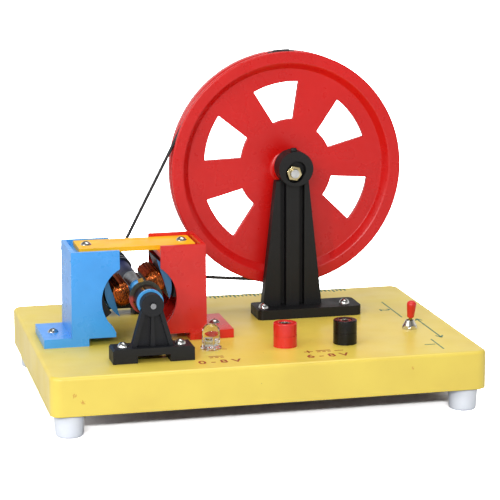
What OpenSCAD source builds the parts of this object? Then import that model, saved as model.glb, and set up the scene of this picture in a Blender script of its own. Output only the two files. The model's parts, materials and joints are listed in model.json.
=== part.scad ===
// Demonstration motor and generator: a small two-pole machine between two magnet
// housings, belted to a large wheel, on a moulded base with sockets, a lamp and a switch.
// X runs to the right, Y away from the front and Z up. The origin is under the middle
// of the base, on the table.

/* [Base] */
// Width of the base, left to right
base_w = 240; // [236:1:260]
// Depth of the base, front to back
base_d = 168; // [166:1:190]
// Height of the moulded tray
tray_h = 21.3; // [19:0.1:26]
// Height of a foot
foot_h = 12.7; // [8:0.1:18]
// Wall of the tray
tray_wall = 2.4; // [2:0.1:3]
// Radius of the tray's upright corners
corner_r = 6; // [4:0.5:9]
// Radius along the tray's top edge
edge_r = 2; // [1:0.5:3.5]

/* [Motor] */
// Shaft centre, to the left of the middle
motor_x = -61.5; // [-64:0.1:-60]
// Shaft height over the base top
shaft_up = 30.6; // [30.5:0.1:30.9]
// Middle of the armature, front to back
armature_y = -7.1; // [-7.3:0.1:-6.9]
// Radius over the armature's shoes
armature_r = 18.8; // [17.5:0.1:18.8]
// Length of the stack of core sheets
stack_l = 23; // [20:0.5:23.5]
// Shaft radius
shaft_r = 1.5; // [1.2:0.1:1.6]
// Angle of the armature at rest
rest_tilt = 17; // [0:0.5:40]
// Inner radius of the magnets
magnet_r = 20; // [19.9:0.1:20.2]
// Half the angle that a magnet covers
magnet_half = 40; // [30:1:40]

/* [Wheel] */
// Wheel centre, to the right of the middle
wheel_x = 37.6; // [36:0.1:39]
// Wheel centre over the base top
wheel_up = 84.4; // [80:0.1:90]
// Front plane of the wheel's rim
wheel_y = 35.5; // [35.3:0.1:36]
// Outer radius of the wheel
wheel_r = 68.8; // [66:0.1:72]
// Width of the rim
rim_w = 12.5; // [12:0.1:13]
// Direction of the first window's middle
window_start = 35.7; // [0:0.1:40]
// How far the two upper left windows stand askew
window_skew = 6; // [0:1:8]

/* [Belt] */
// Radius of the round belt
belt_r = 1; // [0.8:0.1:1.1]
// Radius at which the belt runs on the pulley
pulley_pitch_r = 4.2; // [3.8:0.1:4.3]

/* [Sockets and switch] */
// Bore radius of the plug sockets
socket_r = 2; // [1.5:0.1:2.2]
// Angle of the switch lever from upright at rest
lever_tilt = 12; // [8:1:13]

/* [Hidden] */
$fn = 96;

top_z = foot_h + 0.6 + tray_h;
shaft_z = top_z + shaft_up;
wheel_z = top_z + wheel_up;
gap = 0.1;

foot_inset = 10.85;
foot_r = 8.2;
foot_x = base_w / 2 - foot_inset;
foot_y = base_d / 2 - foot_inset;
plate_t = 2.4;
boss_h = 8;

housing_front = -22;
housing_back = 16.6;
housing_wall = 2;
flange_back = 16.3;
flange_screw = [46, -4.3];
magnet_y = [-19.8, 11.2];
blue_bridge_screw_dx = 25.7;
red_bridge_screw_dx = 28.5;
bridge_screw_y = 1.4;
bridge_y = [-9.9, 14.4];
bridge_under = 49.8;
bridge_t = 2.6;

bearing_foot_w = 44.4;
bearing_foot_d = 13.8;
bearing_foot_h = 8;
bearing_head_r = 6.1;
front_bearing_y = -64.5;
rear_bearing_y = 59.3;
head_inset = 2.5;
head_t = 6;
bearing_screw_dx = 15.6;
bearing_screw_in = 7;

upright_x = 45.6;
upright_w = 62;
upright_front = 12.6;
upright_d = 22.8;
upright_h = 5.7;
upright_screw_x = [19.4, 68.2];
upright_screw_y = 20.6;

belt_y = wheel_y + 4.2;
wheel_pitch_r = wheel_r - 1.6;
groove_gap = 0.35;
knob_r_at = 42;
knob_angle = window_start + 90;
knob_x = wheel_x + knob_r_at * cos(knob_angle);
knob_z = wheel_z + knob_r_at * sin(knob_angle);

red_terminal = [15, -46.9];
black_terminal = [48.8, -48.4];
led_at = [-25.8, -42.6];
switch_at = [93.7, -25.5];
lever_pivot_up = 1;

// Shapes drawn flat, with x to the right and y up, and pushed back from y0 to y1.
module along_y(y0, y1) {
    translate([0, y1, 0]) rotate([90, 0, 0]) linear_extrude(y1 - y0) children();
}

// A round rod that runs from front to back.
module rod_y(r, y0, y1, at = [0, 0]) {
    translate([at[0], y0, at[1]]) rotate([-90, 0, 0]) cylinder(r = r, h = y1 - y0);
}

// A profile of radius and depth, turned about the line at (x, z).
module turned_y(at) {
    translate([at[0], 0, at[1]]) rotate([-90, 0, 0]) rotate_extrude() children();
}

module rounded_rect(w, d, r) {
    square([w, d - 2 * r], center = true);
    square([w - 2 * r, d], center = true);
    for (sx = [-1, 1], sy = [-1, 1])
        translate([sx * (w / 2 - r), sy * (d / 2 - r)]) circle(r);
}

// A dome-headed screw, head up, with its cross slot. The head sits at z = 0.
module dome_screw(head_r, head_h, shank_r, length) {
    ball_r = (head_r * head_r + head_h * head_h) / (2 * head_h);
    difference() {
        union() {
            intersection() {
                translate([0, 0, head_h - ball_r]) sphere(ball_r);
                cylinder(r = head_r, h = head_h);
            }
            translate([0, 0, -length]) cylinder(r = shank_r, h = length + 0.2);
        }
        for (a = [0, 90])
            rotate([0, 0, a + 20])
                translate([-head_r * 0.58, -head_r * 0.11, head_h * 0.45])
                    cube([head_r * 1.16, head_r * 0.22, head_h]);
    }
}

// The outside of the tray: upright corners of radius rc, and a rounded top edge.
module tray_form(w, d, h, rc, re) {
    module side_profile(width) {
        translate([-width / 2, 0]) square([width, h - re]);
        translate([-width / 2 + re, 0]) square([width - 2 * re, h]);
        for (s = [-1, 1]) translate([s * (width / 2 - re), h - re]) circle(re);
    }
    translate([0, d / 2 - rc, 0]) rotate([90, 0, 0])
        linear_extrude(d - 2 * rc) side_profile(w);
    translate([-w / 2 + rc, 0, 0]) rotate([90, 0, 90])
        linear_extrude(w - 2 * rc) side_profile(d);
    for (sx = [-1, 1], sy = [-1, 1])
        translate([sx * (w / 2 - rc), sy * (d / 2 - rc), 0])
            rotate_extrude() intersection() {
                union() {
                    square([rc, h - re]);
                    square([rc - re, h]);
                    translate([rc - re, h - re]) circle(re);
                }
                square([rc + 1, h + 1]);
            }
}

function screw_points() = concat(
    [for (s = [-1, 1]) [motor_x + s * bearing_screw_dx, front_bearing_y + bearing_screw_in]],
    [for (s = [-1, 1]) [motor_x + s * bearing_screw_dx, rear_bearing_y - bearing_screw_in]],
    [for (s = [-1, 1]) [motor_x + s * flange_screw[0], flange_screw[1]]],
    [for (x = upright_screw_x) [x, upright_screw_y]]);

module base_tray() {
    floor_z = foot_h + 0.6;
    under_top = top_z - tray_wall;
    color("#DDBE5C") difference() {
        union() {
            difference() {
                translate([0, 0, floor_z])
                    tray_form(base_w, base_d, tray_h, corner_r, edge_r);
                translate([0, 0, floor_z - 1]) linear_extrude(tray_h + 1 - tray_wall)
                    rounded_rect(base_w - 2 * tray_wall, base_d - 2 * tray_wall, corner_r - 2);
                translate([0, 0, floor_z - 1]) linear_extrude(plate_t - 0.6 + 1 + gap)
                    rounded_rect(base_w - 2.2, base_d - 2.2, corner_r - 1);
            }
            for (sx = [-1, 1], sy = [-1, 1])
                translate([sx * foot_x, sy * foot_y, foot_h + plate_t + gap])
                    cylinder(r = 4, h = under_top - foot_h - plate_t);
            for (p = screw_points())
                translate([p[0], p[1], under_top - boss_h]) cylinder(r = 3.4, h = boss_h + 1);
            for (y = [-70, 70])
                translate([-100, y, under_top - 6]) cube([200, 2, 6 + 1]);
        }
        for (sx = [-1, 1], sy = [-1, 1])
            translate([sx * foot_x, sy * foot_y, foot_h]) cylinder(r = 1.5, h = plate_t + 10);
        for (p = screw_points())
            translate([p[0], p[1], top_z - 9]) cylinder(r = 1.5, h = 10);
        for (p = [red_terminal, black_terminal])
            translate([p[0], p[1], top_z - 5]) cylinder(r = 3, h = 6);
        translate([switch_at[0], switch_at[1], top_z - 5]) cylinder(r = 3.1, h = 6);
        for (s = [-1, 1])
            translate([led_at[0] + s * 1.27, led_at[1], top_z - 5]) cylinder(r = 0.6, h = 6);
        for (s = [-1, 1])
            translate([motor_x + s * brush_dx, brush_y, top_z - 5]) cylinder(r = 1.2, h = 6);
    }
}

module bottom_plate() {
    color("#33231A") difference() {
        translate([0, 0, foot_h]) linear_extrude(plate_t)
            rounded_rect(base_w - 2.6, base_d - 2.6, corner_r - 1.2);
        for (sx = [-1, 1], sy = [-1, 1])
            translate([sx * foot_x, sy * foot_y, foot_h - 1]) cylinder(r = 1.7, h = plate_t + 2);
    }
}

module foot() {
    round_r = 2;
    difference() {
        rotate_extrude() {
            polygon([[0, 0], [foot_r - 0.6 - round_r, 0], [foot_r - 0.6, round_r],
                [foot_r, foot_h], [0, foot_h]]);
            translate([foot_r - 0.6 - round_r, round_r]) circle(round_r);
        }
        translate([0, 0, -1]) cylinder(r = 3.4, h = 8);
        translate([0, 0, 5]) cylinder(r = 1.7, h = foot_h);
    }
}

module feet() {
    color("#EEF1F6")
        for (sx = [-1, 1], sy = [-1, 1]) translate([sx * foot_x, sy * foot_y, 0]) foot();
}

module foot_screws() {
    color("silver")
        for (sx = [-1, 1], sy = [-1, 1])
            translate([sx * foot_x, sy * foot_y, 7]) mirror([0, 0, 1])
                dome_screw(3, 1.8, 1.4, foot_h + 2.5);
}

// Half of the frame that holds a magnet. It is drawn left of the shaft, with x
// measured from the shaft and z from the base top. Its inner edge, its top and the
// screw of its bridge differ between the two sides.
module housing_form(inner, top, bridge_screw_x) {
    outer_top = -37.6;
    outer_foot = -38;
    flange_end = -53.3;
    step_x = -28.4;
    step_h = 4.3;
    tab_x = -13.3;
    tab_top = 10;
    tab_corner = 1.6;
    hole_r = 20.6;
    hole_at = [-0.4, 24.7];
    shelf_under = 47.3;
    module side_face() {
        polygon([[outer_foot, 0], [step_x, 0], [step_x, step_h], [tab_x, step_h],
            [tab_x, tab_top - 2 * tab_corner], [tab_x - tab_corner, tab_top], [inner, tab_top],
            [inner, top], [outer_top, top]]);
    }
    module rotor_hole() {
        translate(hole_at) circle(hole_r);
    }
    difference() {
        union() {
            along_y(housing_front, housing_front + housing_wall)
                difference() {
                    side_face();
                    rotor_hole();
                }
            along_y(housing_back - housing_wall, housing_back) side_face();
            along_y(housing_front, housing_back) {
                polygon([[outer_foot, 0], [outer_foot + 2.4, 0], [outer_top + 2.4, top],
                    [outer_top, top]]);
                polygon([[outer_foot, 0], [step_x, 0], [step_x, step_h], [tab_x, step_h],
                    [tab_x, step_h + 2], [outer_foot, step_h + 2]]);
                polygon([[outer_top - 0.3, shelf_under], [inner, shelf_under],
                    [inner, bridge_under], [outer_top, bridge_under]]);
            }
            for (y = [-14, 6])
                along_y(y, y + 2) difference() {
                    polygon([[outer_foot + 1, 5], [tab_x, 5], [tab_x, tab_top], [inner, 20],
                        [inner, shelf_under + 0.7], [outer_top + 1, shelf_under + 0.7]]);
                    translate([0, shaft_up]) circle(magnet_r + 5.7);
                    translate([0, shaft_up - 25]) square([30, 50]);
                    translate([-14.2, 0]) square([30, 60]);
                }
            translate([bridge_screw_x, bridge_screw_y, 43]) cylinder(r = 3, h = 5);
            along_y(housing_front, flange_back)
                polygon([[flange_end, 0], [flange_end, 5], [outer_foot + 1, 5], [outer_foot + 1, 0]]);
        }
        translate([bridge_screw_x, bridge_screw_y, 40]) cylinder(r = 1.3, h = 20);
        translate([-flange_screw[0], flange_screw[1], -1]) cylinder(r = 1.7, h = 8);
    }
}

module magnet_housing_blue() {
    color("#4FA0EA") translate([motor_x, 0, top_z])
        housing_form(-10.7, 52.9, -blue_bridge_screw_dx);
}

module magnet_housing_red() {
    color("#D6322D") translate([motor_x, 0, top_z]) mirror([1, 0, 0])
        housing_form(-12.2, 54.2, -red_bridge_screw_dx);
}

// An arc of magnet, drawn left of the shaft.
module magnet_form() {
    reach = 40;
    along_y(magnet_y[0], magnet_y[1]) difference() {
        circle(magnet_r + 5.5);
        circle(magnet_r);
        polygon([[0, 0], [-reach * cos(magnet_half), reach * sin(magnet_half)],
            [-reach, reach], [reach, reach], [reach, -reach], [-reach, -reach],
            [-reach * cos(magnet_half), -reach * sin(magnet_half)]]);
    }
}

module magnet_left() {
    color("#2A2A2D") translate([motor_x, 0, shaft_z]) magnet_form();
}

module magnet_right() {
    color("#2A2A2D") translate([motor_x, 0, shaft_z]) mirror([1, 0, 0]) magnet_form();
}

bridge_screw_x = [motor_x - blue_bridge_screw_dx, motor_x + red_bridge_screw_dx];

module top_bridge() {
    left = motor_x - 31.2;
    right = motor_x + 34.4;
    color("#F9BC2A") difference() {
        translate([(left + right) / 2, (bridge_y[0] + bridge_y[1]) / 2, top_z + bridge_under])
            linear_extrude(bridge_t) rounded_rect(right - left, bridge_y[1] - bridge_y[0], 1);
        for (x = bridge_screw_x)
            translate([x, bridge_screw_y, top_z + 40]) cylinder(r = 1.7, h = 20);
    }
}

module bridge_screws() {
    color("silver")
        for (x = bridge_screw_x)
            translate([x, bridge_screw_y, top_z + bridge_under + bridge_t])
                dome_screw(3.1, 2, 1.2, 9);
}

module housing_screws() {
    color("silver")
        for (s = [-1, 1])
            translate([motor_x + s * flange_screw[0], flange_screw[1], top_z + 5])
                dome_screw(3.1, 2, 1.4, 13);
}

// The A-shaped stand that carries one end of the shaft. It is drawn with its front
// at y = 0, x from the shaft and z from the base top.
module bearing_form() {
    neck_half = 5.7;
    foot_half = 12;
    flange_t = 2.2;
    neck_z = shaft_up - 3;
    frame_front = 3.2;
    frame_back = 8.8;
    half_foot = bearing_foot_w / 2;
    difference() {
        union() {
            along_y(0, bearing_foot_d) difference() {
                translate([-half_foot, 0]) square([bearing_foot_w, bearing_foot_h]);
                translate([-8.9, -1]) square([17.8, 5]);
            }
            along_y(frame_front + 2.6, frame_front + 5.4)
                polygon([[-foot_half, 6], [foot_half, 6], [neck_half, neck_z], [-neck_half, neck_z]]);
            for (s = [-1, 1])
                along_y(frame_front, frame_back)
                    polygon([[s * foot_half, 6], [s * neck_half, neck_z],
                        [s * (neck_half - flange_t), neck_z], [s * (foot_half - flange_t - 0.4), 6]]);
            along_y(frame_front + 0.4, frame_front + 4)
                polygon([[-3.6, 6], [3.6, 6], [1.1, neck_z - 2], [-1.1, neck_z - 2]]);
            rod_y(bearing_head_r, head_inset, head_inset + head_t, [0, shaft_up]);
        }
        rod_y(shaft_r + 0.05, -1, bearing_foot_d + 3, [0, shaft_up]);
        for (s = [-1, 1])
            translate([s * bearing_screw_dx, bearing_screw_in, -1]) cylinder(r = 1.7, h = 12);
        for (s = [-1, 1])
            translate([s * half_foot, 0, bearing_foot_h]) rotate([0, 45, 0])
                cube([1.4, 40, 1.4], center = true);
    }
}

module front_bearing() {
    color("#28282B") translate([motor_x, front_bearing_y, top_z]) bearing_form();
}

module rear_bearing() {
    color("#28282B") translate([motor_x, rear_bearing_y, top_z]) rotate([0, 0, 180]) bearing_form();
}

module bearing_screws() {
    color("silver")
        for (s = [-1, 1], y = [front_bearing_y + bearing_screw_in, rear_bearing_y - bearing_screw_in])
            translate([motor_x + s * bearing_screw_dx, y, top_z + bearing_foot_h])
                dome_screw(3.1, 2.6, 1.4, 16);
}

collar_y = [-55.4, -53.4];
commutator_y = [collar_y[1], -43];
commutator_r = 7.2;
disc_r = 9.1;
brush_dx = 2.5;
brush_y = -45.4;
leaf_t = 0.4;
leaf_w = 4.6;

// The block that holds the two brush leaves, behind the front stand.
module brush_block() {
    color("#1F1F21") difference() {
        translate([motor_x - 7, brush_y - 5, top_z]) cube([14, 9.5, 6]);
        for (s = [-1, 1])
            translate([motor_x + s * brush_dx, brush_y, top_z + 3])
                cube([leaf_t + 0.2, leaf_w + 0.4, 8], center = true);
    }
}

// Each leaf stands on the base, comes up through the block and cups the commutator.
module brush_leaves() {
    leaf_r = commutator_r + 0.3;
    reach = 20;
    color("#C98B3C")
        for (s = [0, 1])
            translate([motor_x, 0, shaft_z]) mirror([s, 0, 0]) {
                along_y(brush_y - leaf_w / 2, brush_y + leaf_w / 2) difference() {
                    circle(leaf_r + leaf_t);
                    circle(leaf_r);
                    translate([-reach, -reach]) square([reach + brush_dx - leaf_t / 2, 2 * reach]);
                    polygon([[0, 0], [reach, -4], [reach, reach], [-reach, reach]]);
                }
                translate([brush_dx - leaf_t / 2, brush_y - leaf_w / 2, -shaft_up])
                    cube([leaf_t, leaf_w, shaft_up - leaf_r + 0.2]);
            }
}

module shaft() {
    color("silver") rod_y(shaft_r, front_bearing_y + 0.3, rear_bearing_y - 0.3,
        [motor_x, shaft_z]);
}

// Everything that turns with the shaft is drawn round it and then set at its rest angle.
module on_shaft() {
    translate([motor_x, 0, shaft_z]) rotate([0, -rest_tilt, 0]) children();
}

web_half = 2.4;
coil_in = 5.1;
coil_out = 14.4;
coil_t = 3.05;
end_sheet_t = 0.8;

// The two-pole core in section, with its poles left and right.
module core_section() {
    shoe_in = coil_out + 0.2;
    circle(4.8);
    square([2 * shoe_in + 1, 2 * web_half], center = true);
    for (s = [-1, 1])
        intersection() {
            circle(armature_r);
            translate([s * (shoe_in + 10), 0]) square([20, 60], center = true);
        }
}

module core_slice(y0, y1) {
    on_shaft() along_y(y0, y1) difference() {
        core_section();
        circle(shaft_r);
    }
}

module armature_core() {
    color("#8C9197") core_slice(armature_y - stack_l / 2 + end_sheet_t, armature_y + stack_l / 2 - end_sheet_t);
}

module core_end_sheets() {
    color("#3E7BA5") {
        core_slice(armature_y - stack_l / 2, armature_y - stack_l / 2 + end_sheet_t);
        core_slice(armature_y + stack_l / 2 - end_sheet_t, armature_y + stack_l / 2);
    }
}

// One coil: wire wound round the four corners of the web, bulged like a barrel.
module coil_form() {
    clear = 0.1;
    bulge_r = 6.6;
    height = coil_out - coil_in;
    half = [stack_l / 2, web_half];
    module wound_profile() {
        intersection() {
            translate([coil_t + 0.9 - bulge_r, height / 2]) circle(bulge_r);
            translate([clear, 0]) square([coil_t + 2, height]);
        }
    }
    translate([coil_in, armature_y, 0]) rotate([90, 0, 90])
        for (i = [0 : 3]) {
            across = half[i % 2];
            along = half[(i + 1) % 2];
            rotate([0, 0, 90 * i]) translate([across, along, 0]) {
                rotate_extrude(angle = 90) wound_profile();
                rotate([90, 0, 0]) linear_extrude(2 * along) wound_profile();
            }
        }
}

module coil_left() {
    color("#7A3418") on_shaft() mirror([1, 0, 0]) coil_form();
}

module coil_right() {
    color("#7A3418") on_shaft() coil_form();
}

module commutator_core() {
    color("#3A2A20") on_shaft() difference() {
        rod_y(6, commutator_y[0], commutator_y[1]);
        rod_y(shaft_r, commutator_y[0] - 1, commutator_y[1] + 1);
    }
}

module commutator_segments() {
    color("#7A4A2C") on_shaft() along_y(commutator_y[0], commutator_y[1]) difference() {
        circle(commutator_r);
        circle(6);
        square([0.8, 40], center = true);
    }
}

module commutator_disc() {
    color("#4A5040") on_shaft() difference() {
        rod_y(disc_r, commutator_y[1], commutator_y[1] + 2);
        rod_y(shaft_r, commutator_y[1] - 1, commutator_y[1] + 3);
    }
}

module solder_tabs() {
    color("#B08A46") on_shaft()
        for (a = [90, 270])
            rotate([0, a, 0]) translate([disc_r, commutator_y[1] + 0.4, -1.4]) cube([1.8, 1, 2.8]);
}

module shaft_collar() {
    color("#58B2F2") on_shaft() difference() {
        rod_y(7.2, collar_y[0], collar_y[1]);
        rod_y(shaft_r, collar_y[0] - 1, collar_y[1] + 1);
    }
}

module front_spacer() {
    color("#58A0D8") on_shaft() difference() {
        rod_y(4.2, commutator_y[1] + 2, armature_y - stack_l / 2);
        rod_y(shaft_r, commutator_y[1], armature_y);
    }
}

module rear_spacer() {
    color("#20306E") on_shaft() difference() {
        rod_y(4.5, armature_y + stack_l / 2, belt_y - 4);
        rod_y(shaft_r, armature_y, belt_y);
    }
}

// The groove that the round belt runs in, as radius and depth about the pitch circle.
module belt_groove(pitch_r, out_r) {
    half = belt_r + groove_gap;
    translate([pitch_r, 0]) circle(half);
    polygon([[pitch_r, -half], [out_r + 0.5, -half - 1.1], [out_r + 0.5, half + 1.1], [pitch_r, half]]);
}

module pulley() {
    flange_r = 6;
    color("#3A4250") on_shaft() difference() {
        rod_y(flange_r, belt_y - 4, belt_y + 4);
        rod_y(shaft_r, belt_y - 5, belt_y + 5);
        turned_y([0, 0]) translate([0, belt_y]) belt_groove(pulley_pitch_r, flange_r);
    }
}

// The stand that carries the wheel on one side.
module wheel_upright() {
    frame_front = 24;
    frame_back = 30.5;
    head_front = 18.5;
    head_r = 10.2;
    head_at = [wheel_x + 0.8, wheel_up + 2.6];
    neck_half = 9.7;
    foot_half = 17.9;
    neck_z = wheel_up - 5;
    slot_half = 7.2;
    rib_half = 3.9;
    color("#262628") translate([0, 0, top_z]) difference() {
        union() {
            translate([upright_x, upright_front + upright_d / 2, 0])
                linear_extrude(upright_h) rounded_rect(upright_w, upright_d, 3);
            along_y(frame_front + 4.6, frame_back) translate([wheel_x, 0])
                polygon([[-foot_half, 4], [foot_half, 4], [neck_half, neck_z], [-neck_half, neck_z]]);
            for (s = [-1, 1])
                along_y(frame_front, frame_back) translate([wheel_x, 0])
                    polygon([[s * foot_half, 4], [s * neck_half, neck_z],
                        [s * slot_half, neck_z], [s * slot_half, 4]]);
            along_y(frame_front - 0.8, frame_back - 2) translate([wheel_x, 0])
                polygon([[-rib_half, 4], [rib_half, 4], [rib_half, neck_z], [-rib_half, neck_z]]);
            rod_y(head_r, head_front, frame_back, head_at);
        }
        rod_y(2.55, head_front - 5, frame_back + 1, [wheel_x, wheel_up]);
        rod_y(5.4, head_front - 1, head_front + 5, [wheel_x, wheel_up]);
        rod_y(5.2, head_front - 1, head_front + 5, [wheel_x + 1.4, wheel_up + 2]);
        for (x = upright_screw_x)
            translate([x, upright_screw_y, -1]) cylinder(r = 1.7, h = 10);
    }
}

module upright_screws() {
    color("silver")
        for (x = upright_screw_x)
            translate([x, upright_screw_y, top_z + upright_h]) dome_screw(3.1, 2.8, 1.4, 14);
}

hub_front = 31.7;
hub_back = 50.3;

module wheel_axle() {
    head_h = 3.5;
    color("silver") {
        rod_y(2.5, 17.6, hub_back + 1.4, [wheel_x, wheel_z]);
        rod_y(4.4, hub_back + 1.4, hub_back + 1.4 + head_h, [wheel_x, wheel_z]);
    }
}

module axle_nut() {
    nut_front = 19.2;
    color("#CFC8B8") difference() {
        translate([wheel_x, nut_front, wheel_z]) rotate([-90, 0, 0]) rotate([0, 0, 12])
            cylinder(r = 4.62, h = 4, $fn = 6);
        rod_y(2.5, nut_front - 1, nut_front + 5, [wheel_x, wheel_z]);
    }
}

module axle_washers() {
    color("silver")
        for (y = [30.5, hub_back + 0.4])
            difference() {
                rod_y(4.8, y, y + 1, [wheel_x, wheel_z]);
                rod_y(2.55, y - 1, y + 2, [wheel_x, wheel_z]);
            }
}

web_front = wheel_y + 4.5;
web_back = wheel_y + 8;

// The wheel in section: radius across, depth up, before its windows are cut.
module wheel_section() {
    lip_r = 61.6;
    foot_r_in = 58.5;
    rim_back = wheel_y + rim_w;
    hub_r = 11.3;
    fillet = 2.4;
    difference() {
        union() {
            polygon([[foot_r_in - 1, web_front], [foot_r_in, web_front], [lip_r - 1.2, wheel_y + 0.6],
                [lip_r, wheel_y], [wheel_r - 0.5, wheel_y], [wheel_r, wheel_y + 0.5],
                [wheel_r, rim_back - 0.5], [wheel_r - 0.5, rim_back], [lip_r, rim_back],
                [lip_r - 1.2, rim_back - 0.6], [foot_r_in, web_back], [foot_r_in - 1, web_back]]);
            translate([3.6, web_front]) square([foot_r_in - 3.6, web_back - web_front]);
            translate([3.6, hub_front]) square([hub_r - 3.6, hub_back - hub_front]);
            difference() {
                translate([hub_r - 1, web_front - fillet]) square([fillet + 1, fillet + 1]);
                translate([hub_r + fillet, web_front - fillet]) circle(fillet);
            }
        }
        translate([0, belt_y]) belt_groove(wheel_pitch_r, wheel_r);
    }
}

window_mid_r = 40;

// One window: a wedge with straight sides between two arcs.
module window_outline() {
    inner_r = 28.2;
    outer_r = 50.2;
    inner_half = 11.2;
    outer_half = 15.2;
    side = outer_r + 6;
    slope_half = outer_half + (outer_half - inner_half) * 6 / (outer_r - inner_r);
    inside = inner_r - 6;
    inside_half = inner_half - (outer_half - inner_half) * 6 / (outer_r - inner_r);
    intersection() {
        difference() {
            circle(outer_r);
            circle(inner_r);
        }
        polygon([[inside * cos(inside_half), inside * sin(inside_half)],
            [side * cos(slope_half), side * sin(slope_half)],
            [side * cos(slope_half), -side * sin(slope_half)],
            [inside * cos(inside_half), -inside * sin(inside_half)]]);
    }
}

module drive_wheel() {
    color("#D42A26") difference() {
        union() {
            turned_y([wheel_x, wheel_z]) wheel_section();
            rod_y(4.6, web_back - 1, web_back + 2.5, [knob_x, knob_z]);
        }
        for (i = [0 : 5])
            translate([wheel_x, 0, wheel_z]) rotate([0, -(window_start + 60 * i), 0])
                along_y(web_front - 1, web_back + 1)
                    translate([window_mid_r, 0]) rotate(i == 1 || i == 2 ? window_skew : 0)
                        translate([-window_mid_r, 0]) window_outline();
        rod_y(2, web_front + 1.2, web_back + 4, [knob_x, knob_z]);
    }
}

module wheel_bush() {
    color("#C9A24A") difference() {
        rod_y(3.6, hub_front, hub_back, [wheel_x, wheel_z]);
        rod_y(2.55, hub_front - 1, hub_back + 1, [wheel_x, wheel_z]);
    }
}

knob_front = web_back + 2.8;
knob_back = knob_front + 20;

module knob_pin() {
    color("silver") {
        rod_y(2, web_front + 1.4, knob_back - 2.6, [knob_x, knob_z]);
        rod_y(3.6, knob_back - 2.6, knob_back - 0.8, [knob_x, knob_z]);
    }
}

module crank_knob() {
    knob_r = 5.8;
    waist_r = 9;
    color("#1E1E20") difference() {
        turned_y([knob_x, knob_z]) difference() {
            union() {
                translate([0, knob_front]) square([knob_r - 1, knob_back - knob_front]);
                translate([0, knob_front + 1]) square([knob_r, knob_back - knob_front - 2]);
                for (y = [knob_front + 1, knob_back - 1]) translate([knob_r - 1, y]) circle(1);
            }
            translate([knob_r + waist_r - 1, knob_front + 9]) circle(waist_r);
        }
        rod_y(2.06, knob_front - 1, knob_back, [knob_x, knob_z]);
        rod_y(4, knob_back - 2.9, knob_back + 1, [knob_x, knob_z]);
    }
}

// The round belt: two arcs and two straight runs in one plane.
module drive_belt() {
    dx = wheel_x - motor_x;
    dz = wheel_z - shaft_z;
    span = sqrt(dx * dx + dz * dz);
    lean = atan2(dz, dx);
    open = 90 + asin((wheel_pitch_r - pulley_pitch_r) / span);
    up = lean + open;
    down = lean - open;
    run = sqrt(span * span - pow(wheel_pitch_r - pulley_pitch_r, 2));
    lap = 0.3;
    module belt_arc(at, r, from, sweep) {
        translate([at[0], belt_y, at[1]]) rotate([90, 0, 0]) rotate([0, 0, from])
            rotate_extrude(angle = sweep) translate([r, 0]) circle(belt_r, $fn = 32);
    }
    color("#151515") {
        belt_arc([wheel_x, wheel_z], wheel_pitch_r, down, up - down);
        belt_arc([motor_x, shaft_z], pulley_pitch_r, up, 360 - (up - down));
        for (a = [[up, up - 90], [down, down + 90]])
            translate([motor_x + pulley_pitch_r * cos(a[0]), belt_y, shaft_z + pulley_pitch_r * sin(a[0])])
                rotate([0, 90 - a[1], 0]) translate([0, 0, -lap])
                    cylinder(r = belt_r - 0.03, h = run + 2 * lap, $fn = 32);
        for (i = [0 : 1])
            translate([wheel_x, belt_y, wheel_z]) rotate([90, 0, 0]) rotate([0, 0, 86 + 2.5 * i])
                rotate_extrude(angle = 13 - 5 * i)
                    translate([wheel_pitch_r + 0.8 + 0.5 * i, 0]) circle(belt_r + 0.15 + 0.2 * i, $fn = 32);
    }
}

cap_h = 13.4;
cap_r = 6.55;

module terminal_cap(at) {
    translate([at[0], at[1], top_z]) difference() {
        union() {
            cylinder(r = cap_r, h = cap_h - 0.6);
            cylinder(r = cap_r - 0.6, h = cap_h);
            translate([0, 0, cap_h - 0.6]) rotate_extrude() translate([cap_r - 0.6, 0])
                intersection() {
                    circle(0.6, $fn = 32);
                    square([1, 1]);
                }
        }
        translate([0, 0, -1]) cylinder(r = 2.9, h = cap_h + 2);
        translate([0, 0, cap_h - 1.2]) cylinder(r1 = 2.9, r2 = 4, h = 1.3);
        translate([0, 0, cap_h * 0.47]) difference() {
            cylinder(r = cap_r + 1, h = 0.35);
            translate([0, 0, -1]) cylinder(r = cap_r - 0.25, h = 3);
        }
    }
}

module terminal_red() {
    color("#E0302C") terminal_cap(red_terminal);
}

module terminal_black() {
    color("#1E1E1E") terminal_cap(black_terminal);
}

module terminal_sockets() {
    color("silver")
        for (p = [red_terminal, black_terminal])
            translate([p[0], p[1], top_z]) difference() {
                translate([0, 0, -9]) cylinder(r = 2.85, h = 9 + cap_h - 1.3);
                translate([0, 0, cap_h - 1.3 - 12]) cylinder(r = socket_r, h = 14);
            }
}

module terminal_nuts() {
    color("silver")
        for (p = [red_terminal, black_terminal])
            translate([p[0], p[1], top_z - tray_wall - 2.6]) difference() {
                cylinder(r = 5.2, h = 2.6, $fn = 6);
                translate([0, 0, -1]) cylinder(r = 2.85, h = 5);
            }
}

module led_lens() {
    lens_r = 5;
    dome_z = 9.2;
    color([0.93, 0.93, 0.9, 0.5]) translate([led_at[0], led_at[1], top_z]) {
        cylinder(r = 5.8, h = 1.4);
        cylinder(r = lens_r, h = dome_z);
        intersection() {
            translate([0, 0, dome_z]) sphere(lens_r);
            translate([0, 0, dome_z]) cylinder(r = lens_r + 1, h = lens_r + 1);
        }
    }
}

module led_leads() {
    color("silver") translate([led_at[0], led_at[1], top_z]) {
        for (s = [-1, 1])
            translate([s * 1.27, 0, -11]) cylinder(r = 0.35, h = 16, $fn = 24);
        translate([-1.27, 0, 4.4]) cylinder(r1 = 0.8, r2 = 1.5, h = 1.6);
        translate([1.4, 0, 4.6]) cylinder(r = 0.8, h = 1.4);
    }
}

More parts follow.
